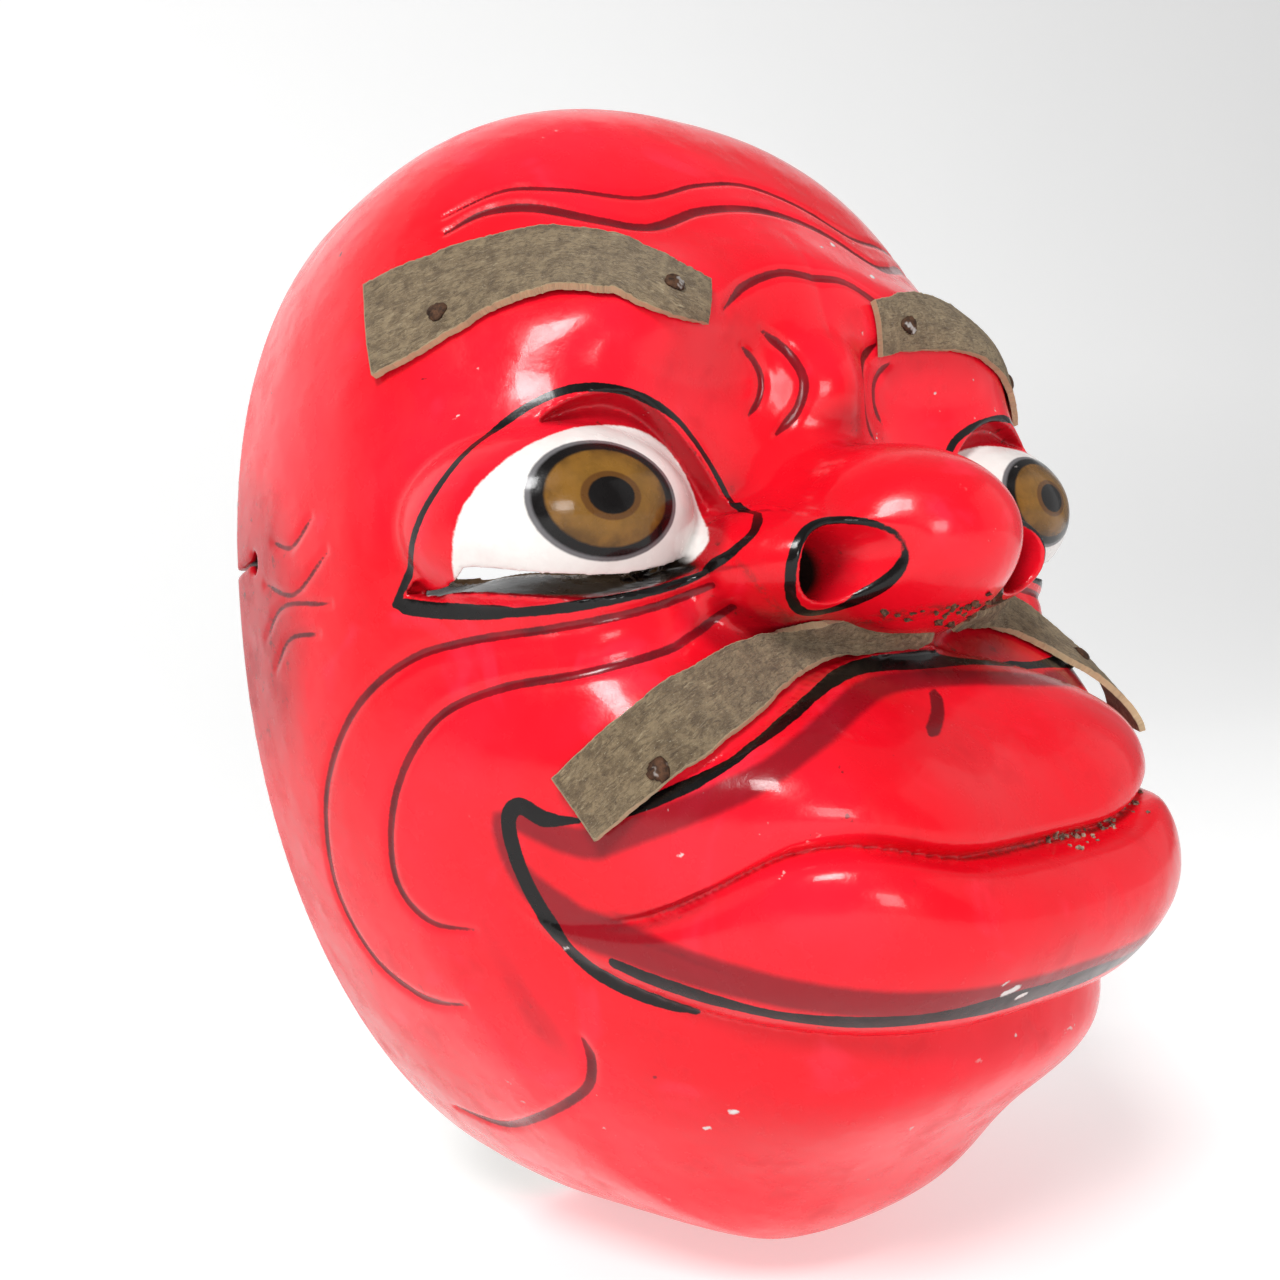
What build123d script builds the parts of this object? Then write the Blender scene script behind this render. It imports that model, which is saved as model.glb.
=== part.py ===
from build123d import *
import math
import os

import numpy as np

# A carved wooden theatre mask. The hollow shell is one block of wood, and four strips of trimmed
# hide, two eyebrows and two halves of a moustache, are held on it by short tacks.
# The frame: +Z is up, the face looks along -Y, and the back rim lies in the plane Y = 0.
# Names with "right" are on the mask's own right, which is -X.

# ---- driving dimensions, in millimetres
HALF_WIDTH = 72.5         # of the oval back rim
WIDEST_Z = 12.0           # height of its widest place
RISE = 88.0               # from there to the top of the rim
DROP = 109.0              # from there to the bottom of the rim
BOWL_DEPTH = 62.0         # of the plain bowl under the carved features
TOP_POWER = 2.35          # how square the oval is above and below its widest place
LOW_POWER = 2.05
SIDE_POWER = 2.3          # how square the bowl's section is, across and in depth
DEPTH_POWER = 3.5
RIM_WIDTH = 7.0           # the wood's thickness at the back rim
FLOOR_THICKNESS = 8.0     # the wood's thickness behind the plain bowl
HOLLOW_SHARE = 0.8        # how much of each feature's height the hollow follows
MOUTH_HALF = 57.5         # from the middle to a corner of the mouth
HIDE_THICKNESS = 1.3
HIDE_LIFT = 0.6           # the stiff hide stands this far off the wood
TACK_HEAD_RADIUS = 1.7
TACK_HEAD_HEIGHT = 0.9
TACK_SHANK_RADIUS = 0.6
TACK_LENGTH = 5.0         # of the shank below the head
SLIT_HEIGHT = 2.4         # the wearer sees through a slit below each eyeball
NOSTRIL_X = 19.0          # the nostrils' places, on the wings of the nose
NOSTRIL_Z = 10.0
NOSTRIL_RADIUS = 6.2
NOSTRIL_DEPTH = 8.0
BREATH_RADIUS = 2.0
CORD_HOLE_RADIUS = 1.75
CORD_HOLE_Z = 21.0
CORD_HOLE_SETBACK = 9.0   # from the back rim to the axis of a cord hole
KERF_WIDTH = 0.9          # the saw cut that runs from the rim into a cord hole
BACK_ALLOWANCE = 1.0      # wood behind the rim's plane, planed away to leave the rim flat
BLOCK_LEVELS = 61         # level sections in the carved face, and points along each of them
HOLLOW_LEVELS = 31        # the same for the plainer hollow
END_GAP = 1.2             # the end sections stop this far short of the oval's two ends
STEEPEST = 0.4            # hide on a steep side is raised as if the face's normal had this share of -Y


# ---- the carved relief: how far the face stands in front of the back rim, at (x, z)

def smooth(t):
    """Goes from 0 to 1 with level ends."""
    t = np.clip(t, 0, 1)
    return t * t * (3 - 2 * t)


def bump(x, z, centre, size, tilt=0.0):
    """A soft round mound of height 1. The centre is (x, z) and the tilt is in degrees."""
    c, s = math.cos(math.radians(tilt)), math.sin(math.radians(tilt))
    along = (x - centre[0]) * c + (z - centre[1]) * s
    across = (z - centre[1]) * c - (x - centre[0]) * s
    return np.exp(-(along / size[0]) ** 2 - (across / size[1]) ** 2)


def plateau(x, z, centre_z, half_width, half_height, power):
    """A broad flat-topped mound on the middle line, of height 1."""
    return np.exp(-(x / half_width) ** 4 - np.abs((z - centre_z) / half_height) ** power)


def blend_max(a, b, radius):
    """The larger of two heights, with a rounded groove where they meet."""
    t = np.clip(0.5 + 0.5 * (a - b) / radius, 0, 1)
    return b * (1 - t) + a * t + radius * t * (1 - t)


def oval_radius(x, z, inset=0.0):
    """0 on the oval's axis and 1 on the back rim, or on the rim of the hollow inside it."""
    dz = z - WIDEST_Z
    height = np.where(dz > 0, RISE, DROP) - inset
    power = np.where(dz > 0, TOP_POWER, LOW_POWER)
    r = (np.abs(x / (HALF_WIDTH - inset)) ** power + np.abs(dz / height) ** power) ** (1 / power)
    return np.clip(r, 0, 1)


def upper_lip_z(x):
    return -2.5 - 18 * (np.minimum(x, 50) / 50) ** 1.8 + 4 * smooth((x - 50) / 8)


def lower_lip_z(x):
    return -17 - 32 * np.clip(1 - np.minimum(x / MOUTH_HALF, 1) ** 3.2, 0, 1) ** 0.55


def lip_crease_z(x):
    return -32 + 4 * np.exp(-((x - 19) / 9) ** 2) - 2 * smooth((x - 28) / 22) + 10 * smooth((x - 49) / 9)


def pillow(t, middle):
    """The section of a lip: t is 0 at the crease and 1 at the outer edge."""
    return np.where((t > 0) & (t < 1.05), np.sqrt(np.clip(1 - ((t - middle) / (1.06 - middle)) ** 2, 0, 1)), 0)


def lips(x, z):
    crease = lip_crease_z(x)
    up = (z - crease) / (upper_lip_z(x) - crease).clip(0.5)
    down = (crease - z) / (crease - lower_lip_z(x)).clip(0.5)
    return smooth((MOUTH_HALF - x) / 22) * (5 * pillow(up, 0.4) + 10 * pillow(down, 0.5))


def knob(height, x, z, centre, size, base, rise, radius):
    """Raises an egg-shaped knob, part of the nose, out of the face."""
    q = ((x - centre[0]) / size[0]) ** 2 + ((z - centre[1]) / size[1]) ** 2
    egg = np.where(q < 1, base + rise * np.sqrt(np.clip(1 - q, 0, 1)), height - 4 * radius)
    return blend_max(height, egg, radius)


def eye_opening(x, z):
    """1 inside the almond-shaped lids and 0 outside, with a soft edge. x is from the middle line."""
    u = (x - 42.5) / 21.5
    line = 15 - 3.4 * u
    above = 21.5 * np.clip(1 - np.abs(u) ** 2.2, 0, 1)
    below = 6.0 * np.clip(1 - np.abs(u) ** 2.6, 0, 1)
    inside = np.minimum(line + above - z, z - line + below)
    return smooth(inside / 2.0)


def carving(across, z):
    """The broad features, raised on the plain bowl. across is the distance from the middle line."""
    return (
        11 * bump(across, z, (34, 49), (24, 11), -10)      # brows
        + 6 * bump(across, z, (0, 58), (16, 12))           # forehead
        + 8 * bump(across, z, (0, 40), (9, 9))             # knot above the nose
        + 17 * bump(across, z, (45, 21), (20, 17))         # eye mounds
        + 8 * bump(across, z, (0, 20), (14, 14))           # bridge of the nose
        + 6 * bump(across, z, (48, -10), (14, 14))         # cheeks
        + 36 * plateau(across, z, -32, 51, 30, 3)          # muzzle
        - 5 * bump(across, z, (0, -14), (16, 14))          # hollow below the nose
        + 24 * plateau(across, z, -75, 41, 23, 4)          # chin
    )


def outer_height(x, z):
    """How far the painted face stands in front of the back rim."""
    across = np.abs(x)
    r = oval_radius(x, z)
    height = BOWL_DEPTH * (1 - r ** SIDE_POWER) ** (1 / DEPTH_POWER)
    height = height + carving(across, z) * smooth((1 - r) / 0.06) + lips(across, z)
    height = knob(height, across, z, (0, 13), (18, 15), 58, 35, 5)
    height = knob(height, across, z, (NOSTRIL_X, NOSTRIL_Z), (13.5, 10.5), 58, 29, 4)
    lids = eye_opening(across, z)
    ball = 55 + 19 * np.sqrt(np.clip(1 - ((across - 44) / 24) ** 2 - ((z - 20) / 19) ** 2, 0, 1))
    return height + lids * (blend_max(height - 4, ball, 2) - height)


def hollow_height(x, z):
    """How far the hollow reaches in front of the back rim: a plainer copy of the face."""
    r = oval_radius(x, z, RIM_WIDTH)
    height = (BOWL_DEPTH - FLOOR_THICKNESS) * (1 - r ** SIDE_POWER) ** (1 / DEPTH_POWER)
    return height + HOLLOW_SHARE * carving(np.abs(x), z) * smooth((1 - r) / 0.25)


def face_point(x, z, lift=0.0):
    """A point on the painted face, or above it along the face's own normal, and that normal."""
    step = 0.4
    near = outer_height(np.array([x, x - step, x + step, x, x]), np.array([z, z, z, z - step, z + step]))
    slope_x = (near[2] - near[1]) / (2 * step)
    slope_z = (near[4] - near[3]) / (2 * step)
    normal = Vector(-slope_x, -1, -slope_z).normalized()
    return Vector(x, -near[0], z) + normal * lift, normal


# ---- the shell

def section_wire(z, inset, height, count):
    """A level section, closed behind the back rim, with points evenly spaced along its curve."""
    dz = z - WIDEST_Z
    power = TOP_POWER if dz > 0 else LOW_POWER
    half_height = (RISE if dz > 0 else DROP) - inset
    half = (HALF_WIDTH - inset) * (1 - abs(dz / half_height) ** power) ** (1 / power)
    x = half * np.sin(np.linspace(-math.pi / 2, math.pi / 2, 1201))
    y = height(x, np.full_like(x, z))
    y[0] = y[-1] = 0
    length = np.concatenate([[0], np.cumsum(np.hypot(np.diff(x), np.diff(y)))])
    even = np.linspace(0, length[-1], count)
    points = [Vector(px, -py, z) for px, py in zip(np.interp(even, length, x), np.interp(even, length, y))]
    curve = Edge.make_spline(points, parameters=np.linspace(0, 1, count).tolist())
    left, right = curve @ 1 + Vector(0, BACK_ALLOWANCE, 0), curve @ 0 + Vector(0, BACK_ALLOWANCE, 0)
    back = [Edge.make_line(curve @ 1, left), Edge.make_line(left, right), Edge.make_line(right, curve @ 0)]
    return Wire([curve, *back])


def bowl(inset, height, levels):
    """A closed solid from just behind the back rim forward, lofted up through level sections."""
    bottom, top = WIDEST_Z - DROP + inset + END_GAP, WIDEST_Z + RISE - inset - END_GAP
    return Solid.make_loft([section_wire(float(z), inset, height, levels) for z in np.linspace(bottom, top, levels)])


def eye_slit(side):
    """The narrow curved slit along the lower lid, cut right through below the eyeball."""
    ends = [(side * 59, 12.5), (side * 33, 12.0)]
    low = (side * 46, 9.6)
    top = [(x, z + SLIT_HEIGHT * 0.35) for x, z in ends]
    edges = [
        Edge.make_three_point_arc((*ends[0], 0), (*low, 0), (*ends[1], 0)),
        Edge.make_line((*ends[1], 0), (*top[1], 0)),
        Edge.make_three_point_arc((*top[1], 0), (low[0], low[1] + SLIT_HEIGHT, 0), (*top[0], 0)),
        Edge.make_line((*top[0], 0), (*ends[0], 0)),
    ]
    outline = Plane.XZ * Face(Wire(edges))
    return Location((0, -20, 0)) * extrude(outline, 70, dir=(0, -1, 0))


def nostril(side):
    """A tapering nostril, with a breathing hole from its floor into the hollow."""
    mouth, normal = face_point(side * NOSTRIL_X, NOSTRIL_Z, 1.0)
    inward = Plane(origin=mouth, z_dir=normal * -1)
    cone = Solid.make_cone(NOSTRIL_RADIUS, BREATH_RADIUS, NOSTRIL_DEPTH, inward)
    hole_start = Vector(side * (NOSTRIL_X + 1.5), mouth.Y + NOSTRIL_DEPTH - 3, NOSTRIL_Z)
    hole = Solid.make_cylinder(BREATH_RADIUS, 40, Plane(origin=hole_start, z_dir=(0, 1, 0)))
    return cone + hole


def cord_hole(side):
    """A tying hole through the temple, and the saw cut that runs into it from the rim."""
    start = (side * (HALF_WIDTH - 20), -CORD_HOLE_SETBACK, CORD_HOLE_Z)
    hole = Solid.make_cylinder(CORD_HOLE_RADIUS, 30, Plane(origin=start, z_dir=(side, 0, 0)))
    kerf = Location((side * HALF_WIDTH, -CORD_HOLE_SETBACK / 2, CORD_HOLE_Z)) * Box(
        40, CORD_HOLE_SETBACK, KERF_WIDTH
    )
    return hole + kerf


def mask_shell(block, tacks):
    """The carved block hollowed out, with its slits, nostrils, tying holes and tack holes."""
    shell = block - bowl(RIM_WIDTH, hollow_height, HOLLOW_LEVELS)
    shell = shell - Location((0, BACK_ALLOWANCE, 0)) * Box(4 * HALF_WIDTH, 2 * BACK_ALLOWANCE, 4 * RISE)
    for side in (-1, 1):
        for cut in (eye_slit, nostril, cord_hole):
            shell = shell - cut(side)
    for one in tacks:
        shell = shell - one
    return shell


# ---- the hide strips and their tacks

def hide_strip(middle, half_widths):
    """A strip of stiff hide along a line of (x, z) points, bent to lie close over the face."""
    line = Spline([(x, z) for x, z in middle])
    ends = np.linspace(0, 1, len(middle))
    sections = []
    for t in np.linspace(0, 1, 2 * len(middle) + 3):
        centre, heading = line @ float(t), line % float(t)
        half = float(np.interp(t, ends, half_widths))
        under = []
        over = []
        for share in (-1, -0.5, 0, 0.5, 1):
            w = share * half
            foot, normal = face_point(centre.X - heading.Y * w, centre.Y + heading.X * w)
            forward = Vector(0, -1 / max(-normal.Y, STEEPEST), 0)
            under.append(foot + forward * HIDE_LIFT)
            over.append(foot + forward * (HIDE_LIFT + HIDE_THICKNESS))
        sections.append(Wire.make_polygon(under + over[::-1]))
    return Solid.make_loft(sections, True)


def tack(x, z):
    """A short tack with a bevelled head, driven through the hide into the wood at (x, z)."""
    foot, normal = face_point(x, z)
    seat = foot + Vector(0, -1 / max(-normal.Y, STEEPEST), 0) * (HIDE_LIFT + HIDE_THICKNESS)
    tip = 3 * TACK_SHANK_RADIUS
    upright = Solid.make_cylinder(TACK_SHANK_RADIUS, TACK_LENGTH - tip, Plane((0, 0, tip - TACK_LENGTH)))
    upright += Solid.make_cone(0.1, TACK_SHANK_RADIUS, tip, Plane((0, 0, -TACK_LENGTH)))
    upright += Solid.make_cone(TACK_HEAD_RADIUS, 0.5 * TACK_HEAD_RADIUS, TACK_HEAD_HEIGHT)
    return upright.solid().moved(Plane(origin=seat, z_dir=normal).location)


# The strips were tacked on by eye: the left eyebrow sits lower and nearer the middle than the
# right one, and the left half of the moustache starts farther out and higher.
STRIPS = {
    "right_eyebrow": {
        "middle": [(-62, 51), (-55, 54), (-48, 56.5), (-41, 57), (-34, 54.5), (-28, 51.5), (-23.5, 49.5)],
        "half_widths": [8.5, 7.5, 6.5, 6.5, 6.5, 5.0, 3.0],
        "tacks": [(-57, 52), (-30, 51.5)],
    },
    "left_eyebrow": {
        "middle": [(55, 42), (48, 45.5), (41, 48.5), (33, 51), (26, 52), (19, 51.5), (12, 49.5)],
        "half_widths": [7.5, 6.8, 6.0, 5.4, 5.0, 4.7, 4.2],
        "tacks": [(49, 45), (17.5, 50.5)],
    },
    "right_moustache": {
        "middle": [(-3, 0.8), (-12, 0.8), (-20, -0.6), (-28, -3.6), (-36, -7.4), (-43, -11.4), (-51.5, -18)],
        "half_widths": [1.6, 2.4, 3.2, 4.0, 4.6, 5.0, 5.4],
        "tacks": [(-47, -14.5)],
    },
    "left_moustache": {
        "middle": [(15, 3.5), (23, 2), (31, -1), (38, -4.5), (44, -8.5), (49, -13), (53, -18.5)],
        "half_widths": [2.6, 3.0, 3.6, 4.2, 4.6, 5.0, 5.2],
        "tacks": [(46, -10.5)],
    },
}


def build():
    """Every node of the mask, by name."""
    block = bowl(0, outer_height, BLOCK_LEVELS)
    nodes = {}
    every_tack = []
    for name, strip in STRIPS.items():
        tacks = [tack(x, z) for x, z in strip["tacks"]]
        hide = hide_strip(strip["middle"], strip["half_widths"]) - block
        for one in tacks:
            hide = hide - one
        nodes[name] = max(hide.solids(), key=lambda piece: piece.volume)
        nodes[name + ("_tacks" if len(tacks) > 1 else "_tack")] = Compound(children=tacks)
        every_tack += tacks
    nodes["mask_shell"] = mask_shell(block, every_tack)
    return nodes


os.makedirs("parts", exist_ok=True)
for name, solid in build().items():
    solid.label = name
    export_step(solid, f"parts/{name}.step")
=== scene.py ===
import math

import bmesh
import bpy
import numpy as np
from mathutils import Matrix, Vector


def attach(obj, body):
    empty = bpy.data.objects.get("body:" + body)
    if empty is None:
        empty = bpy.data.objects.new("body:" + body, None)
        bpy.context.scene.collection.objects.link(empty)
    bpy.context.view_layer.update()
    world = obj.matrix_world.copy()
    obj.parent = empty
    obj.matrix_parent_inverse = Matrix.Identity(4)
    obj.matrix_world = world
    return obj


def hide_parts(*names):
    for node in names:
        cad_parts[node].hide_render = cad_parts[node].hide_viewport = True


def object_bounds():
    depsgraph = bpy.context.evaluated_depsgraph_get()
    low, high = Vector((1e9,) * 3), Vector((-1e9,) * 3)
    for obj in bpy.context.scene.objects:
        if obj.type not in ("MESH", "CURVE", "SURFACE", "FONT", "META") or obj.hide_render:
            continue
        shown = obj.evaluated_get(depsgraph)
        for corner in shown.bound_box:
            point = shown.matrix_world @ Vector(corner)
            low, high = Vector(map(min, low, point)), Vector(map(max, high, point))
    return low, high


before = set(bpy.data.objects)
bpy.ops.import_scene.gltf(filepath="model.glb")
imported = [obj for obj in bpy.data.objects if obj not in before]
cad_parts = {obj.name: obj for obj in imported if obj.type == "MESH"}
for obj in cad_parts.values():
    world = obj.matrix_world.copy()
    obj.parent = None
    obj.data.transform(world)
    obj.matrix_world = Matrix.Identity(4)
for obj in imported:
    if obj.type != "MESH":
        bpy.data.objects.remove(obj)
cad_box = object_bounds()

import openvdb
from mathutils import Matrix, Vector

# ---------------------------------------------------------------------------------------------
# The mask itself is one block of light wood, carved outside, hollowed behind with a gouge, and
# lacquered over a white ground. Its form is worked out as a solid field in millimetres, then
# skinned; the face looks along -Y and the back rim lies at Y = 0.
# ---------------------------------------------------------------------------------------------
HALF_WIDTH, WIDEST_Z, RISE, DROP = 72.5, 12.0, 88.0, 109.0
BOWL_DEPTH, RIM_WIDTH, FLOOR_THICKNESS = 62.0, 7.0, 8.0
TOP_POWER, LOW_POWER, SIDE_POWER, DEPTH_POWER = 2.35, 2.05, 2.3, 3.5
MOUTH_HALF = 57.5
LID_DEPTH, FOLD_DEPTH = 4.0, 2.4
# Each egg is a centre and its half sizes.
NOSE_BALL = (0, -71.5, 14), (18, 24, 15)
NOSE_WING = (17.5, -66, 11.5), (14, 21.5, 9.0)
RIGHT_EYEBALL = (-44, -52, 20), (21, 21.5, 15)
LEFT_EYEBALL = (42.5, -50.5, 21), (21, 21.5, 15)
MM = 0.001
VOXEL = 0.5


def smooth(t):
    """0 up to 0, 1 from 1 on, and an even slope between."""
    t = np.clip(t, 0, 1)
    return t * t * (3 - 2 * t)


def bump(x, z, centre, size, tilt=0.0):
    """A round swelling of height 1, turned by tilt degrees."""
    c, s = math.cos(math.radians(tilt)), math.sin(math.radians(tilt))
    along = (x - centre[0]) * c + (z - centre[1]) * s
    across = (z - centre[1]) * c - (x - centre[0]) * s
    return np.exp(-(along / size[0]) ** 2 - (across / size[1]) ** 2)


def plateau(x, z, centre_z, half_width, half_height, power):
    """A flat-topped swelling of height 1 across the middle of the face."""
    return np.exp(-(x / half_width) ** 4 - np.abs((z - centre_z) / half_height) ** power)


def oval_radius(x, z, inset):
    """0 on the oval's axis and 1 on its rim. Beyond the rim it goes on growing."""
    dz = z - WIDEST_Z
    height = np.where(dz > 0, RISE, DROP) - inset
    power = np.where(dz > 0, TOP_POWER, LOW_POWER)
    return (np.abs(x / (HALF_WIDTH - inset)) ** power + np.abs(dz / height) ** power) ** (1 / power)


def upper_lip_z(x):
    return -2.5 - 18 * (np.minimum(x, 50) / 50) ** 1.8 + 4 * smooth((x - 50) / 8)


def lower_lip_z(x):
    return -17 - 32 * np.clip(1 - np.minimum(x / MOUTH_HALF, 1) ** 3.2, 0, 1) ** 0.42


def lip_crease_z(x):
    hump = 3.8 * np.exp(-((x - 31) / 11) ** 2)
    return -28.5 + hump - 5.5 * smooth((x - 35) / 13) + 6 * smooth((x - 51) / 8)


def pillow(t, middle):
    """The section of a lip, from 0 at the crease to 1 at the outer edge."""
    section = np.sqrt(np.clip(1 - ((t - middle) / (1.06 - middle)) ** 2, 0, 1))
    return np.where((t > 0) & (t < 1.05), section, 0)


def lips(x, z):
    """How far the two lips stand out, dying away at the corners of the mouth."""
    crease = lip_crease_z(x)
    up = (z - crease) / (upper_lip_z(x) - crease).clip(0.5)
    down = (crease - z) / (crease - lower_lip_z(x)).clip(0.5)
    return smooth((MOUTH_HALF - x) / 22) * (5 * pillow(up, 0.4) + 10 * pillow(down, 0.5))


def eye_opening(x, z):
    """Millimetres inside the almond-shaped lids, negative outside."""
    u = (x - 42.5) / 21.5
    line = 15 - 3.4 * u
    above = 21.5 * np.clip(1 - np.abs(u) ** 2.2, 0, 1)
    below = 6.0 * np.clip(1 - np.abs(u) ** 2.6, 0, 1)
    return np.minimum(line + above - z, z - line + below)


def carving(across, z):
    """The broad features raised on the plain bowl."""
    return (
        11 * bump(across, z, (34, 49), (24, 11), -10)
        + 6 * bump(across, z, (0, 58), (16, 12))
        + 8 * bump(across, z, (0, 40), (9, 9))
        + 17 * bump(across, z, (45, 21), (20, 17))
        + 8 * bump(across, z, (0, 20), (14, 14))
        + 6 * bump(across, z, (48, -10), (14, 14))
        + 36 * plateau(across, z, -32, 51, 30, 3)
        - 5 * bump(across, z, (0, -14), (16, 14))
        + 24 * plateau(across, z, -75, 41, 23, 4)
    )


def bowl_field(x, y, z, raised, inset, depth):
    """About the distance outside a bowl that is pushed forward by the height of its carving."""
    r = oval_radius(x, z, inset).astype(np.float32)
    front = np.clip(-y - raised.astype(np.float32), 0, None) / depth
    level = r ** SIDE_POWER + front ** DEPTH_POWER - 1
    slopes = np.gradient(level, VOXEL)
    return level / np.sqrt(sum(slope * slope for slope in slopes)).clip(1e-4)


def egg(x, y, z, centre, size):
    """About the distance outside an egg-shaped solid."""
    p = [(a - c) / s for a, c, s in zip((x, y, z), centre, size)]
    near = np.sqrt(p[0] ** 2 + p[1] ** 2 + p[2] ** 2)
    steep = np.sqrt(sum((a / s) ** 2 for a, s in zip(p, size))).clip(1e-6)
    return near * (near - 1) / steep


def merge(a, b, radius):
    """The two solids together, with a fillet where they meet."""
    t = np.clip(0.5 + 0.5 * (a - b) / radius, 0, 1)
    return a * (1 - t) + b * t - radius * t * (1 - t)


xs = np.arange(-75, 75.1, VOXEL, dtype=np.float32)
ys = np.arange(-108, 3.1, VOXEL, dtype=np.float32)
zs = np.arange(-101, 103.1, VOXEL, dtype=np.float32)
X, Y, Z = xs[:, None, None], ys[None, :, None], zs[None, None, :]
side = np.abs(X)
r = oval_radius(X, Z, 0).clip(0, 1)
lids = smooth(eye_opening(side, Z) / 1.5)
fold = FOLD_DEPTH * np.exp(-((Z - lip_crease_z(side)) / 1.1) ** 2) * smooth((54 - side) / 12)
raised = carving(side, Z) * smooth((1 - r) / 0.06) + lips(side, Z) - LID_DEPTH * lids - fold
solid = bowl_field(X, Y, Z, raised, 0, BOWL_DEPTH)
solid = merge(solid, egg(X, Y, Z, *NOSE_BALL), 6)
solid = merge(solid, egg(side, Y, Z, *NOSE_WING), 4)
eyeballs = np.minimum(egg(X, Y, Z, *RIGHT_EYEBALL), egg(X, Y, Z, *LEFT_EYEBALL))
solid = merge(solid, eyeballs, 0.8)
skin_field = solid

# The hollow follows the carving less closely than the front does, and keeps the marks of the gouge.
FOLLOW, GOUGE_DEPTH = 0.8, 0.8
inner_r = oval_radius(X, Z, RIM_WIDTH).clip(0, 1)
gouge_rows = np.sin(X * 0.42 + 2 * np.sin(Z * 0.11))
gouge_ends = np.sin(Z * 0.23 + 0.4 * np.sin(X * 0.3))
gouged = FOLLOW * carving(side, Z) * smooth((1 - inner_r) / 0.25)
gouged = gouged + GOUGE_DEPTH * np.abs(gouge_rows * gouge_ends)
hollow = bowl_field(X, Y, Z, gouged, RIM_WIDTH, BOWL_DEPTH - FLOOR_THICKNESS)
solid = -merge(-solid, hollow, 0.6)
solid = -merge(-solid, -Y + 0 * solid, 1.0)

# The seeing slit under each eyeball climbs as it goes in. Each nostril narrows to a breathing
# hole. The tying hole at each temple has a saw cut running into it from the rim.
SLIT_X, SLIT_HALF_LENGTH, SLIT_HALF_HEIGHT = 46, 15, 1.3
NOSTRIL_X, NOSTRIL_Z, NOSTRIL_RADIUS, BREATHING_RADIUS = 18.8, 10.4, 5.9, 2.0
TIE_Y, TIE_Z, TIE_RADIUS, KERF_HALF = -9, 21, 1.75, 0.4
slit_z = 10.0 + 2.4 * ((side - SLIT_X) / SLIT_HALF_LENGTH) ** 2 + 0.6 * (-skin_field).clip(0, 12)
slit = np.maximum(np.abs(Z - slit_z) - SLIT_HALF_HEIGHT, np.abs(side - SLIT_X) - SLIT_HALF_LENGTH)
solid = np.maximum(solid, -np.maximum(slit, Y + 25))
down = Y + 86
narrowed = (NOSTRIL_RADIUS - 0.26 * down).clip(BREATHING_RADIUS)
funnel = np.hypot((side - NOSTRIL_X - 0.12 * down) / 1.12, Z - NOSTRIL_Z) - narrowed
solid = -merge(-solid, np.maximum(funnel, -down - 8), 1.0)
tie = np.maximum(np.hypot(Y - TIE_Y, Z - TIE_Z) - TIE_RADIUS, 55 - side)
kerf = np.maximum(np.maximum(np.abs(Z - 20.2 + 0.14 * Y) - KERF_HALF, TIE_Y - Y), 60 - side)
solid = np.maximum(solid, -np.minimum(tie, kerf))

block = openvdb.FloatGrid()
block.copyFromArray(np.clip(solid, -3 * VOXEL, 3 * VOXEL))
block.transform = openvdb.createLinearTransform(voxelSize=VOXEL)
points, quads = block.convertToQuads(isovalue=0.0)
points = points.astype(np.float64) + np.array([xs[0], ys[0], zs[0]])


# ---------------------------------------------------------------------------------------------
# The drawing on the face: brush lines in black and maroon, most of them in a groove cut first.
# A line is a few places on the face, each a turn about the upright axis in degrees and a
# height in millimetres, and the brush runs smoothly through them.
# ---------------------------------------------------------------------------------------------
AXIS_Y = -15
GROOVE_DEPTH = 0.45


def field_at(field, p):
    """The field's value at scattered points, by linear interpolation."""
    t = (p - np.array([xs[0], ys[0], zs[0]])) / VOXEL
    low = np.clip(np.floor(t).astype(int), 0, np.array(field.shape) - 2)
    f = np.clip(t - low, 0, 1)
    total = 0
    for i in (0, 1):
        for j in (0, 1):
            for k in (0, 1):
                share = (f[:, 0] if i else 1 - f[:, 0]) * (f[:, 1] if j else 1 - f[:, 1])
                share = share * (f[:, 2] if k else 1 - f[:, 2])
                total = total + share * field[low[:, 0] + i, low[:, 1] + j, low[:, 2] + k]
    return total


def outermost(start, heading):
    """Where rays from outside the skin first meet it; start and heading have one row per ray."""
    steps = np.arange(0, 130, 0.5)
    rays = start[:, None] + heading[:, None] * steps[None, :, None]
    inside = field_at(skin_field, rays.reshape(-1, 3)).reshape(len(start), -1) < 0
    last = inside.shape[1] - 1 - np.argmax(inside[:, ::-1], axis=1)
    near = start + heading * steps[last][:, None]
    for _ in range(3):
        near = near - heading * field_at(skin_field, near)[:, None] * 0.8
    return near


def by_turn(turn, z):
    """Places on the skin at a turn about the upright axis, 0 in front and -90 at the right ear."""
    turn, z = np.radians(np.asarray(turn, float)), np.asarray(z, float)
    start = np.stack([0 * z, 0 * z + AXIS_Y, z], -1)
    return outermost(start, np.stack([np.sin(turn), -np.cos(turn), 0 * z], -1))


def from_front(x, z):
    """Places on the skin straight behind (x, z), seen from the front."""
    x, z = np.asarray(x, float), np.asarray(z, float)
    return outermost(np.stack([x, 0 * z, z], -1), np.stack([0 * x, 0 * x - 1, 0 * x], -1))


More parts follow.
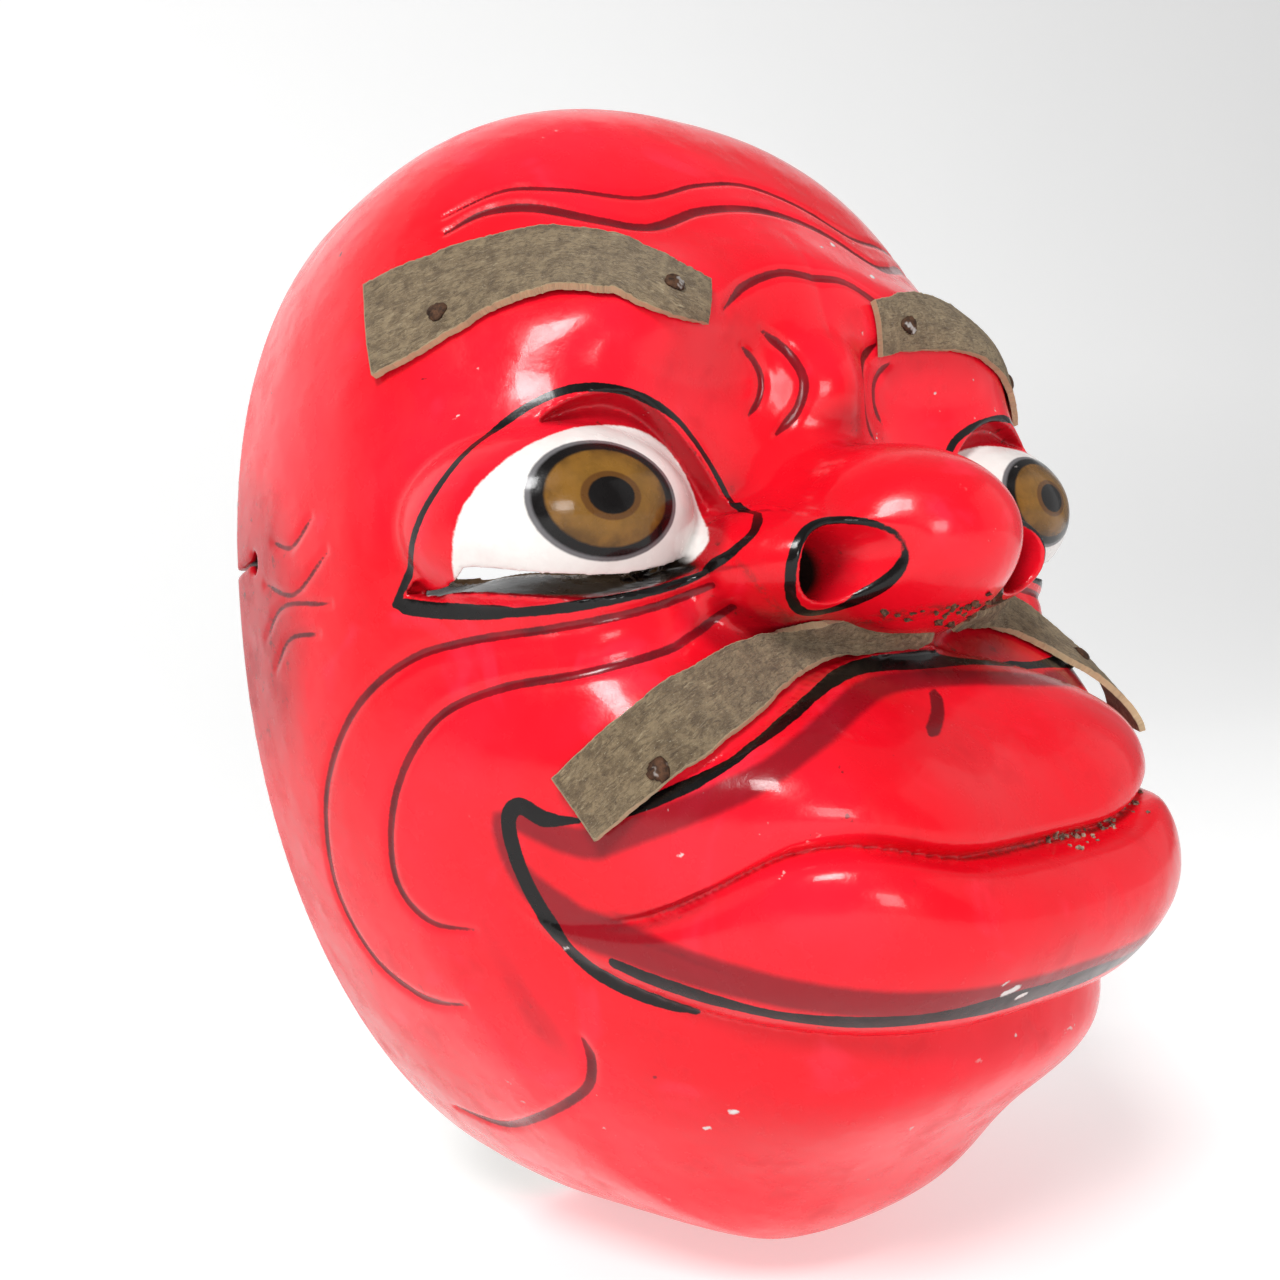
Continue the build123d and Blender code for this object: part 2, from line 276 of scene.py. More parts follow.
def curve_through(knots, count):
    """Points evenly spread along a smooth curve through the knots."""
    k = np.asarray(knots, float)
    k = np.vstack([2 * k[0] - k[1], k, 2 * k[-1] - k[-2]])
    t = np.linspace(0, len(k) - 3 - 1e-9, count)
    i = t.astype(int)
    f = (t - i)[:, None]
    a, b, c, d = k[i], k[i + 1], k[i + 2], k[i + 3]
    squared, cubed = 2 * a - 5 * b + 4 * c - d, 3 * b - a - 3 * c + d
    return 0.5 * (2 * b + (c - a) * f + squared * f ** 2 + cubed * f ** 3)


def brush(path, width, start=0.25, end=0.25, swell=1.0):
    """A stroke: its points and its half width at each, thinned at the ends."""
    t = np.linspace(0, 1, len(path))
    taper = np.minimum(np.clip(start + t / 0.18, 0, 1), np.clip(end + (1 - t) / 0.18, 0, 1))
    return path, 0.5 * width * taper * swell


def line(knots, width, count=70, **ends):
    """A stroke through knots of turn and height."""
    turned = curve_through(knots, count)
    return brush(by_turn(turned[:, 0], turned[:, 1]), width, **ends)


def both_sides(strokes):
    """The strokes and their mirror images on the other side of the face."""
    return strokes + [(path * np.array([-1, 1, 1]), half) for path, half in strokes]


def distance_to(strokes, reach=4.0):
    """Each skin point's distance outside the nearest stroke, negative inside it."""
    nearest = np.full(len(points), reach)
    for path, half in strokes:
        low, high = path.min(0) - reach, path.max(0) + reach
        close = np.nonzero(((points > low) & (points < high)).all(1))[0]
        run = np.diff(path, axis=0)
        squared = (run ** 2).sum(1).clip(1e-9)
        for part in np.array_split(close, max(1, len(close) // 3000)):
            offset = points[part][:, None] - path[None, :-1]
            along = ((offset * run).sum(2) / squared).clip(0, 1)
            gap = np.linalg.norm(offset - along[..., None] * run, axis=2)
            gap = gap - (half[:-1] + along * np.diff(half))
            nearest[part] = np.minimum(nearest[part], gap.min(1))
    return nearest


# The lines along the lips stop short of the corners, where a stroke of their own turns the corner.
mouth_x = (MOUTH_HALF - 0.3) * np.sin(np.linspace(-math.pi / 2, math.pi / 2, 150))
right_z = upper_lip_z(np.abs(mouth_x)) + 0.3 - 1.2 * smooth((mouth_x + 15) / 15)
left_z = -3.4 - 2.4 * smooth(mouth_x / 30) - 12 * smooth((mouth_x - 40) / 16)
upper_z = np.where(mouth_x > 0, left_z, right_z)
upper_edge = from_front(mouth_x, upper_z)
lower_z = lower_lip_z(np.abs(mouth_x))
lower_edge = from_front(mouth_x, lower_z + 1.0 + 1.9 * smooth((mouth_x + 38) / 30))
between = np.abs(mouth_x) < 48.5
swelling = 1 + 0.25 * np.cos(mouth_x * 0.11 + 0.6) + 0.12 * np.sin(mouth_x * 0.37)
black_strokes = both_sides([
    line([(-65, 10.5), (-60, 18), (-56, 24), (-51, 32), (-44, 36.5), (-37, 36.5), (-30, 33), (-24.5, 25),
          (-22, 18.5)], 1.3, start=0.7, end=0.7),
    line([(-22, 18.5), (-24.5, 14.8), (-30, 11), (-37, 8.8), (-46, 7.7), (-56, 8.3), (-65, 10.5)], 1.5,
         start=0.7),
    line([(-50, 7.9), (-56, 8.5), (-61, 9.4), (-65, 10.6)], 2.3, start=0.3, end=0.3),
    line([(-45, -19.8), (-49, -19.4), (-52, -17.6), (-53.6, -20), (-52.8, -27), (-49.8, -34.5), (-46, -39.5),
          (-41, -42.8), (-35, -45)], 2.4, end=0.7),
]) + [
    brush(upper_edge[between], 2.5, 0.5, 0.5, swelling[between]),
    brush(lower_edge[between], 3.0, 0.5, 0.5, swelling[between]),
]
ring_turn = np.linspace(0, 2 * math.pi, 60)
nostril_rim = from_front(-19.0 + 7.1 * np.cos(ring_turn), 10.4 + 6.0 * np.sin(ring_turn))
black_strokes += both_sides([(nostril_rim, 0.75 + 0.4 * np.clip(np.cos(ring_turn + 0.7), 0, 1))])

maroon_strokes = both_sides([
    line([(-28.5, 9.2), (-37, 6.5), (-46, 5.2), (-56, 4.6), (-64, 3), (-72, -2), (-79, -10), (-84, -19),
          (-87, -31), (-84, -41), (-77, -46), (-71, -47), (-66, -46.5)], 1.15, 140, start=0.9),
    line([(-26, 6), (-31, 3), (-35, 1), (-44, -1), (-53, -2), (-61, -5), (-67, -12), (-71, -21),
          (-72, -29), (-68, -34), (-61, -35)], 1.2, 120, start=1.0),
    line([(-49, -50), (-48.5, -54), (-51, -59), (-61, -65), (-74, -69.5), (-88, -69)], 1.5),
    line([(-13.5, 47.5), (-9, 44.5), (-7, 40), (-8.2, 35.5), (-12, 32)], 1.5),
    line([(-17.5, 45), (-14.8, 43), (-13.6, 40.5), (-14.2, 37.5), (-16.4, 35)], 1.0),
    line([(-88, 23), (-83, 21.5), (-78, 25)], 0.7),
    line([(-91, 17), (-83, 14.5), (-75, 19.5)], 0.7),
    line([(-92, 9), (-86, 13), (-75, 12)], 0.7),
    line([(-90, 4), (-85, 8), (-78, 8)], 0.7),
]) + [
    line([(-62, 65), (-57, 68), (-50, 68.5), (-39, 66), (-30, 65), (-19, 69), (-6, 71),
          (6, 71), (19, 69), (30, 65), (39, 66), (50, 68.5), (57, 68), (62, 65)], 1.9, 160),
    line([(-63, 68), (-55, 72), (-46, 72), (-31, 71), (-16, 75), (0, 77),
          (16, 75), (31, 71), (46, 72), (55, 72), (63, 68)], 0.9, 160),
    line([(-21, 49.5), (-16, 54), (-8, 57), (0, 57), (8, 57), (15, 54), (20, 50)], 1.4),
]
drip_strokes = [line([(-1, -7.5), (-4.5, -10.5), (-9, -13)], 2.2, start=0.2, end=0.4)]
band_strokes = [
    brush(from_front(mouth_x, upper_z - 2.6), 4.2, 0.2, 0.2),
    brush(from_front(mouth_x, lower_z + 4.0), 5.2, 0.2, 0.2),
]
crease_x = np.linspace(-46, 46, 90)
crease = from_front(crease_x, lip_crease_z(np.abs(crease_x)))
dust_strokes = [brush(crease, 1.3, 0.3, 0.3, 0.5 + smooth((crease_x + 20) / 20)),
                line([(-12, 2.5), (-4, 3.5), (4, 3.5), (12, 3)], 2.2, start=0.2, end=0.2)]
dust_strokes += both_sides([line([(-26, 12), (-22, 6), (-15, 1)], 1.0)])
chips = [(-9, -44.5, 1.1), (-7, -45.8, 0.8), (-9.8, -43, 0.5), (15, 66, 0.9), (19, 60, 0.9), (-32, -60, 0.7),
         (-35, -63, 0.6), (-49, -37, 0.5), (8, 64, 0.6), (36, -28, 0.8), (-66, 58, 0.7)]
chip_strokes = [line([(turn, z), (turn + size, z + 0.4 * size)], size, 3, start=1, end=1)
                for turn, z, size in chips]
outward = np.stack([np.gradient(solid, VOXEL, axis=axis) for axis in range(3)], -1)
normals = np.stack([field_at(outward[..., axis], points) for axis in range(3)], -1)
normals /= np.linalg.norm(normals, axis=1, keepdims=True).clip(1e-6)
del outward
maroon = distance_to(maroon_strokes)
points -= normals * (GROOVE_DEPTH * np.exp(-(np.clip(maroon + 0.5, 0, None) / 0.9) ** 2))[:, None]
ink = distance_to(black_strokes)
band = distance_to(band_strokes)
drip = distance_to(drip_strokes)
dust = distance_to(dust_strokes)
chipped = distance_to(chip_strokes)

iris_centre = by_turn([-38.6], [21.1])[0]
from_iris = points - iris_centre
on_left = points[:, 0] > 0
from_iris[on_left] = points[on_left] * [-1, 1, 1] - iris_centre - [1.5, 1.5, 1.0]
iris = np.sqrt((from_iris[:, 0] ** 2 + from_iris[:, 1] ** 2) / 11.2 ** 2 + from_iris[:, 2] ** 2 / 8.4 ** 2)
white_edge = curve_through([(-55.5, 12.5), (-52.5, 21), (-47, 28), (-40, 32), (-33.5, 31), (-29, 25.5),
                            (-27.6, 18), (-31, 12.6), (-42, 10.3), (-55.5, 12.5)], 120)
turns = np.degrees(np.arctan2(np.abs(points[:, 0]) * -1, -(points[:, 1] - AXIS_Y)))
heights = points[:, 2]


def inside_outline(outline, u, v):
    """Signed distance to a closed outline on a flat chart, negative inside."""
    a, b = outline, np.roll(outline, -1, axis=0)
    near = np.full(len(u), 9.0)
    crossings = np.zeros(len(u), int)
    for (ax, ay), (bx, by) in zip(a, b):
        run = np.array([bx - ax, by - ay])
        t = np.clip(((u - ax) * run[0] + (v - ay) * run[1]) / max(run @ run, 1e-9), 0, 1)
        near = np.minimum(near, np.hypot(u - ax - t * run[0], v - ay - t * run[1]))
        if ay != by:
            crosses = (ay > v) != (by > v)
            crossings += crosses & (u < (bx - ax) * (v - ay) / (by - ay) + ax)
    return np.where(crossings % 2 == 1, -near, near)


near_eye = (turns > -66) & (turns < -15) & (heights > 0) & (heights < 42) & (points[:, 1] < -48)
white = np.full(len(points), 5.0)
white[near_eye] = inside_outline(white_edge, turns[near_eye], heights[near_eye])
behind = np.clip(field_at(hollow, points) - 1.2, -3, 6)
buried = field_at(skin_field, points)
# How enclosed each point is: it sets the painted shade in the creases and hollows, and where dirt specks
# gather.
nook = np.clip((4.7 - field_at(skin_field, points + 6 * normals)) / 3.0, 0, 1)
nook = nook * smooth((heights + 62) / 14) * smooth((points[:, 1] + 86) / 10)

mesh = bpy.data.meshes.new("carved_shell")
mesh.from_pydata((points * MM).tolist(), [], quads[:, ::-1].tolist())
mesh.polygons.foreach_set("use_smooth", [True] * len(mesh.polygons))
paint = {"ink": ink, "maroon": maroon, "band": band, "drip": drip, "iris": iris, "white": white,
         "behind": behind, "buried": buried, "dust": dust, "chipped": chipped, "nook": nook}
for name, values in paint.items():
    mesh.attributes.new(name, "FLOAT", "POINT").data.foreach_set("value", values.astype(np.float32))


class Tone:
    """One socket of a material's nodes. Sums with it add Math nodes to the same material."""

    def __init__(self, tree, socket=None):
        self.tree = tree
        self.socket = socket

    def node(self, kind, settings=None, inputs=None, output=0):
        """A new node, its settings made before its inputs, as a Tone of one of its outputs."""
        made = self.tree.nodes.new(kind)
        for key, value in (settings or {}).items():
            if key == "stops":
                ramp = made.color_ramp
                while len(ramp.elements) < len(value):
                    ramp.elements.new(0.5)
                for element, (place, colour) in zip(ramp.elements, value):
                    element.position = place
                    element.color = (*colour, 1)
            else:
                setattr(made, key, value)
        for key, value in (inputs or {}).items():
            if isinstance(value, Tone):
                self.tree.links.new(value.socket, made.inputs[key])
            else:
                made.inputs[key].default_value = value
        return Tone(self.tree, made.outputs[output])

    def math(self, operation, *values):
        return self.node("ShaderNodeMath", {"operation": operation}, dict(enumerate(values)))

    def __add__(self, other):
        return self.math("ADD", self, other)

    def __sub__(self, other):
        return self.math("SUBTRACT", self, other)

    def __rsub__(self, other):
        return self.math("SUBTRACT", other, self)

    def __mul__(self, other):
        return self.math("MULTIPLY", self, other)

    __radd__ = __add__
    __rmul__ = __mul__

    def clamp(self):
        return self.node("ShaderNodeClamp", None, {0: self})

    def soft(self, start, end):
        """0 at start and 1 at end, with level ends. Either may be the larger."""
        settings = {"interpolation_type": "SMOOTHSTEP"}
        return self.node("ShaderNodeMapRange", settings, {0: self, 1: start, 2: end, 3: 0.0, 4: 1.0})

    def place(self):
        """Where a point lies on its piece, in metres."""
        return self.node("ShaderNodeTexCoord", None, None, 3)

    def attribute(self, name, output=2):
        return self.node("ShaderNodeAttribute", {"attribute_name": name}, None, output)

    def noise(self, scale, detail=3.0, rough=0.5, place=None, warp=0.0):
        inputs = {"Scale": scale, "Detail": detail, "Roughness": rough, "Distortion": warp}
        inputs["Vector"] = place or self.place()
        return self.node("ShaderNodeTexNoise", None, inputs)

    def blend(self, factor, a, b):
        """Colour a where the factor is 0 and colour b where it is 1."""
        settings = {"data_type": "RGBA", "blend_type": "MIX", "clamp_factor": True}
        pair = [(*c, 1) if isinstance(c, tuple) else c for c in (a, b)]
        return self.node("ShaderNodeMix", settings, {0: factor, 6: pair[0], 7: pair[1]}, 2)

    def bump(self, height, distance, strength):
        inputs = {"Strength": strength, "Distance": distance, "Height": height}
        return self.node("ShaderNodeBump", None, inputs)


def begin(name):
    """A new material, and an empty Tone to make its nodes with."""
    made = bpy.data.materials.new(name)
    made.use_nodes = True
    return made, Tone(made.node_tree)


def finish_surface(made, base, rough, normal, **fixed):
    """Joins a material's colour, roughness and bump to its shader and sets the values that are fixed."""
    shader = made.node_tree.nodes["Principled BSDF"]
    for key, value in (("Base Color", base), ("Roughness", rough), ("Normal", normal)):
        if isinstance(value, Tone):
            made.node_tree.links.new(value.socket, shader.inputs[key])
        elif value is not None:
            shader.inputs[key].default_value = value
    for key, value in fixed.items():
        shader.inputs[key.replace("_", " ")].default_value = value


def lacquer():
    """Red over white ground, with the drawing, the painted eyes, chips, dust, painted shade in the creases
    and inside the holes, and a thick varnish.
    """
    made, t = begin("red_lacquer")
    broad = t.noise(22, 4, 0.55)
    fine = t.noise(160, 5, 0.6)
    ragged = t.noise(900, 4, 0.7) - 0.5
    red = t.blend(broad.soft(0.35, 0.7), (0.70, 0.003, 0.012), (0.86, 0.010, 0.028))
    red = t.blend(fine.soft(0.5, 0.8) * 0.35, red, (0.50, 0.002, 0.009))
    red = t.blend(t.noise(45, 3, 0.6, warp=1.5).soft(0.56, 0.72) * 0.30, red, (0.95, 0.035, 0.08))
    nook = t.attribute("nook").soft(0.0, 0.8)
    # Painted shade: the red is darkened in the creases and hollows.
    red = t.blend(nook * (0.35 + 0.5 * fine), red, (0.22, 0.002, 0.006))
    # Dark dirt specks, thickest in the creases and hollows.
    grubby = (nook * 0.8 + t.noise(14, 3) * 0.45).soft(0.45, 0.8) * t.noise(420, 5, 0.75).soft(0.58, 0.68)
    red = t.blend(grubby * 0.75, red, (0.07, 0.012, 0.008))
    edge = ragged * 0.35
    band_mask = (t.attribute("band") + edge + (broad - 0.5) * 1.6).soft(0.55, -0.75)
    red = t.blend(band_mask * 0.78, red, (0.13, 0.003, 0.008))
    groove = (t.attribute("maroon") + edge).soft(0.12, -0.12)
    red = t.blend(groove * (0.55 + 0.6 * fine).clamp(), red, (0.07, 0.002, 0.005))
    red = t.blend((t.attribute("drip") + edge).soft(0.1, -0.3) * 0.9, red, (0.08, 0.003, 0.006))
    # The painted eye: white, with a ringed iris that grows lighter towards its pupil.
    eye = t.attribute("iris")
    white_mask = (t.attribute("white") + ragged * 0.6).soft(0.25, -0.1)
    white = t.blend(t.noise(70, 5, 0.65).soft(0.45, 0.75) * 0.55, (0.76, 0.74, 0.71), (0.62, 0.52, 0.50))
    pigment = t.blend(t.noise(220, 4, 0.6).soft(0.35, 0.65), (0.085, 0.038, 0.006), (0.19, 0.085, 0.012))
    pigment = t.blend(eye.soft(0.80, 0.50) * 0.5, pigment, (0.23, 0.11, 0.018))
    dark = (0.004, 0.003, 0.003)
    out = eye + ragged * 0.02
    rings = t.blend(out.soft(0.76, 0.81), pigment, dark)
    rings = t.blend(out.soft(0.91, 0.96), rings, (0.13, 0.125, 0.13))
    rings = t.blend(out.soft(0.40, 0.37), rings, (0.10, 0.04, 0.008))
    rings = t.blend(out.soft(0.31, 0.28), rings, dark)
    eyeball = t.blend(out.soft(1.02, 0.985), white, rings)
    colour = t.blend(white_mask, red, eyeball)
    black_mask = (t.attribute("ink") + edge).soft(0.08, -0.08)
    colour = t.blend(black_mask, colour, dark)
    crumbly = t.noise(600, 5, 0.75)
    dirt = (t.attribute("dust") + (crumbly - 0.5) * 4).soft(0.8, -0.8) * crumbly.soft(0.42, 0.60)
    colour = t.blend(dirt * 0.85, colour, (0.055, 0.022, 0.014))
    specks = t.noise(260, 3, 0.6).soft(0.71, 0.75) * t.noise(33, 2).soft(0.50, 0.60)
    colour = t.blend(specks * 0.8, colour, (0.09, 0.008, 0.012))
    # How far below the skin each point lies, for the painted shade inside the holes.
    sunk = (t.attribute("buried") + ragged * 0.5).soft(-0.5, -1.3)
    # Painted shade: the holes are coloured near black inside, but for the red mouths of the nostrils and the
    # rim.
    y = t.node("ShaderNodeSeparateXYZ", None, {0: t.place()}, 1)
    hole_shade = sunk * y.soft(-0.078, -0.076) * y.soft(-0.003, -0.005)
    colour = t.blend(hole_shade, colour, (0.012, 0.006, 0.005))
    chips = t.noise(380, 3, 0.6).soft(0.70, 0.74) * t.noise(20, 2).soft(0.52, 0.62)
    rim_wear = (t.attribute("behind") + ragged * 5).soft(1.2, 0.4)
    knocked = (t.attribute("chipped") + ragged * 1.1).soft(0.15, -0.15)
    chips = (chips * 0.8 + knocked).clamp()
    colour = t.blend((chips + rim_wear).clamp(), colour, (0.66, 0.62, 0.60))
    rough = 0.20 + 0.22 * fine.soft(0.4, 0.8) + 0.25 * chips + 0.3 * dirt
    height = fine * 0.12 + t.noise(60, 2) * 0.8 + t.noise(130, 2) * 0.35 - chips * 0.25 + ragged * 0.03
    finish_surface(made, colour, rough, t.bump(height, 0.0016, 0.5), Coat_Weight=0.2, Coat_Roughness=0.08,
                   Specular_IOR_Level=0.2)
    return made


def bare_wood():
    """The gouged hollow: light wood gone brown with handling, with its grain upright."""
    made, t = begin("bare_wood")
    upright = t.node("ShaderNodeMapping", None, {0: t.place(), 3: (1, 1, 0.12)})
    grain = t.noise(420, 6, 0.6, upright, 0.6)
    stain = t.noise(25, 4, 0.6)
    colour = t.blend(grain.soft(0.3, 0.7), (0.33, 0.20, 0.10), (0.50, 0.34, 0.19))
    colour = t.blend(stain.soft(0.45, 0.75) * 0.7, colour, (0.16, 0.09, 0.045))
    finish_surface(made, colour, 0.62 + 0.2 * grain, t.bump(grain + stain, 0.0004, 0.7))
    return made


mesh.materials.append(lacquer())
mesh.materials.append(bare_wood())
corner_behind = behind[quads].mean(1)
on_rim = points[quads][..., 1].mean(1) > -0.45
mesh.polygons.foreach_set("material_index", ((corner_behind < 0.3) | on_rim).astype(int))
shell = bpy.data.objects.new("carved_shell", mesh)
bpy.context.collection.objects.link(shell)
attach(shell, "root")
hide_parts("mask_shell")


# ---------------------------------------------------------------------------------------------
# Eyebrows and moustache: four strips trimmed from stiff dried hide with short fibres, bent over
# the face and tacked. Each bridges the hollows below it, and its cut edges show pale.
# ---------------------------------------------------------------------------------------------
HIDE_THICKNESS = 1.05
HIDE_LIFT = 0.35


def hide_sheet(middle, half_widths, girth, ride, lift_at_end, seed):
    """The strip's lower face as a net of points, with each point's run along and across it. The
    middle line is in turns and heights, where the face is about girth millimetres from its axis.
    The sheet climbs no more than ride above its lower edge, so it passes under the nose."""
    rng = np.random.default_rng(seed)
    rows, columns = 150, 31
    per_turn = girth * math.pi / 180
    centre = curve_through([(turn * per_turn, z) for turn, z in middle], rows)
    heading = np.gradient(centre, axis=0)
    heading /= np.linalg.norm(heading, axis=1, keepdims=True)
    across = np.stack([-heading[:, 1], heading[:, 0]], -1)
    half = np.interp(np.linspace(0, 1, rows), np.linspace(0, 1, len(half_widths)), half_widths)
    waver = np.convolve(rng.normal(0, 1, rows + 20), np.ones(9) / 9, "same")[10:-10] * 0.35
    share = np.linspace(-1, 1, columns)
    flat = centre[:, None] + across[:, None] * ((half + waver)[:, None] * share[None, :])[..., None]
    base = by_turn(flat[..., 0].ravel() / per_turn, flat[..., 1].ravel()).reshape(rows, columns, 3)
    axis = np.stack([0 * base[..., 0], 0 * base[..., 0] + AXIS_Y, base[..., 2]], -1)
    reach = np.linalg.norm(base - axis, axis=-1)
    heading_out = (base - axis) / reach[..., None]
    lowest = np.take_along_axis(reach, np.argmin(base[..., 2], axis=1)[:, None], 1)
    reach = np.minimum(reach, lowest + ride) + HIDE_LIFT
    sheet = reach.copy()
    for _ in range(160):
        eased = sheet.copy()
        eased[1:-1] = (sheet[:-2] + 2 * sheet[1:-1] + sheet[2:]) / 4
        eased[:, 1:-1] = (eased[:, :-2] + 2 * eased[:, 1:-1] + eased[:, 2:]) / 4
        sheet = np.maximum(eased, reach)
    t = np.linspace(0, 1, rows)[:, None]
    curl = lift_at_end * smooth((t - 0.62) / 0.38)
    sheet = sheet + curl + 0.2 * (1 + np.sin(9 * t + seed)) * np.abs(share)[None, :] ** 2
    length = np.concatenate([[0], np.cumsum(np.linalg.norm(np.diff(centre, axis=0), axis=1))])
    along = np.broadcast_to(length[:, None], sheet.shape)
    run = np.stack([along, half[:, None] * share[None, :], 0 * sheet], -1)
    return axis + heading_out * sheet[..., None], run, rng


def net_normals(net):
    """The outward normal at each point of a sheet."""
    n = np.cross(np.gradient(net, axis=0), np.gradient(net, axis=1))
    n /= np.linalg.norm(n, axis=-1, keepdims=True).clip(1e-9)
    outward = net - np.array([0, AXIS_Y, 0])
    return np.where((n * outward).sum(-1, keepdims=True) < 0, -n, n)


def dried_hide():
    """Pale skin under short dull fibres that lie along the strip, worn in patches."""
    made, t = begin("dried_hide")
    run = t.attribute("run", 1)
    along = t.node("ShaderNodeMapping", None, {0: run, 3: (0.45, 1.7, 1.0)})
    hairs = t.noise(1.5, 6, 0.75, along, 1.0)
    fuzz = t.noise(4.5, 5, 0.7, along, 0.6)
    patches = t.noise(0.42, 6, 0.75, run)
    colour = t.blend(patches.soft(0.34, 0.66), (0.15, 0.10, 0.052), (0.34, 0.25, 0.14))
    colour = t.blend(hairs.soft(0.50, 0.36) * 0.75, colour, (0.075, 0.045, 0.022))
    colour = t.blend(hairs.soft(0.54, 0.70) * 0.7, colour, (0.54, 0.44, 0.28))
    colour = t.blend(fuzz.soft(0.60, 0.72) * 0.8, colour, (0.68, 0.60, 0.44))
    colour = t.blend(fuzz.soft(0.40, 0.28) * 0.8, colour, (0.045, 0.028, 0.015))
    rim = t.attribute("cut")
    colour = t.blend((rim + (hairs - 0.5) * 0.8).soft(0.5, 0.8) * 0.9, colour, (0.56, 0.42, 0.25))
    height = hairs + 0.7 * fuzz
    finish_surface(made, colour, 0.86, t.bump(height, 0.0007, 0.9), Sheen_Weight=0.12,
                   Specular_IOR_Level=0.25)
    return made


def piece_of(name, verts, faces, material):
    """A small piece fixed to the mask, from corners in millimetres."""
    mesh = bpy.data.meshes.new(name)
    mesh.from_pydata((np.array(verts) * MM).tolist(), [], faces)
    mesh.materials.append(material)
    piece = bpy.data.objects.new(name, mesh)
    bpy.context.collection.objects.link(piece)
    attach(piece, "root")
    return piece


def hide_piece(name, node, middle, half_widths, girth, ride, lift_at_end, seed):
    """One strip with its thickness. It returns the strip's upper face, for the tacks to sit on."""
    net, run, rng = hide_sheet(middle, half_widths, girth, ride, lift_at_end, seed)
    rows, columns = net.shape[:2]
    n = net_normals(net)
    count = rows * columns
    rough = np.convolve(rng.normal(0, 1, count), np.ones(3) / 3, "same").reshape(rows, columns) * 0.05
    top = net + n * (HIDE_THICKNESS + rough)[..., None]
    verts = np.concatenate([net.reshape(-1, 3), top.reshape(-1, 3)])
    index = np.arange(count).reshape(rows, columns)
    faces = []
    for grid, flip in ((index, False), (index + count, True)):
        cells = np.stack([grid[:-1, :-1], grid[1:, :-1], grid[1:, 1:], grid[:-1, 1:]], -1).reshape(-1, 4)
        faces += (cells[:, ::-1] if flip else cells).tolist()
    border = np.concatenate([index[0], index[1:, -1], index[-1, -2::-1], index[-2:0:-1, 0]])
    after = np.roll(border, -1)
    faces += np.stack([border, after, after + count, border + count], -1).tolist()
    piece = piece_of(name, verts, faces, hide_finish)
    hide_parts(node)
    broad_faces = 2 * (rows - 1) * (columns - 1)
    piece.data.polygons.foreach_set("use_smooth", [i < broad_faces for i in range(len(faces))])
    cut = np.ones((rows, columns))
    cut[1:-1, 1:-1] = 0
    doubled = np.concatenate([cut.ravel()] * 2).astype(np.float32)
    piece.data.attributes.new("cut", "FLOAT", "POINT").data.foreach_set("value", doubled)
    runs = np.concatenate([run.reshape(-1, 3)] * 2).astype(np.float32).ravel()
    piece.data.attributes.new("run", "FLOAT_VECTOR", "POINT").data.foreach_set("vector", runs)
    return net + n * HIDE_THICKNESS


hide_finish = dried_hide()
right_brow = hide_piece(
    "right_eyebrow_hide", "right_eyebrow",
    [(-68.8, 50), (-61, 52.7), (-54, 55.4), (-45.5, 57), (-37, 55.3), (-30, 51.3), (-24.5, 49.6)],
    [8.0, 7.6, 6.8, 6.0, 5.4, 4.6, 3.4], 62, 30, 0.0, 3)
left_brow = hide_piece(
    "left_eyebrow_hide", "left_eyebrow",
    [(54, 45), (47, 47.5), (41, 49.4), (34, 50.8), (27, 51.6), (20, 51.2), (12.5, 49.6)],
    [7.5, 6.8, 6.0, 5.4, 5.0, 4.7, 4.2], 62, 30, 0.0, 8)
right_lip_hair = hide_piece(
    "right_moustache_hide", "right_moustache",
    [(0.5, 1.9), (-8, 1.3), (-16, 0.2), (-22, -1.6), (-29, -5.2), (-36, -9.8), (-45, -18)],
    [2.5, 2.6, 3.0, 3.7, 4.6, 5.0, 5.0], 78, 2.0, 0.6, 4)
left_lip_hair = hide_piece(
    "left_moustache_hide", "left_moustache",
    [(12.8, 4.2), (18.4, 4.8), (23.5, 4.4), (28, 2.9), (32, 0), (35.5, -4.5), (38, -10.5), (39.5, -17)],
    [2.8, 3.1, 3.5, 4.0, 4.4, 4.7, 4.9, 5.0], 73, 3.0, 5.0, 9)


# ---------------------------------------------------------------------------------------------
# The tacks: short iron tacks with small battered heads, driven through the hide and rusted to
# dark brown, two in each eyebrow and one in each half of the moustache.
# ---------------------------------------------------------------------------------------------
# A tack's half section as radius and height: a low dome, its under side, the shank and its point.
TACK_PROFILE = [(0.0, 0.62), (0.55, 0.66), (1.05, 0.52), (1.45, 0.24), (1.52, 0.04), (1.38, -0.06),
                (0.6, -0.1), (0.52, -3.2), (0.0, -4.6)]
SHANK_LIMIT = 0.7


def rusted_iron():
    made, t = begin("rusted_iron")
    crust = t.noise(900, 5, 0.7)
    colour = t.blend(crust.soft(0.35, 0.65), (0.030, 0.016, 0.010), (0.12, 0.055, 0.028))
    worn = t.noise(500, 2).soft(0.62, 0.70)
    colour = t.blend(worn, colour, (0.45, 0.42, 0.40))
    finish_surface(made, colour, 0.75 - 0.45 * worn, t.bump(crust, 0.0002, 0.8), Metallic=0.6)
    return made


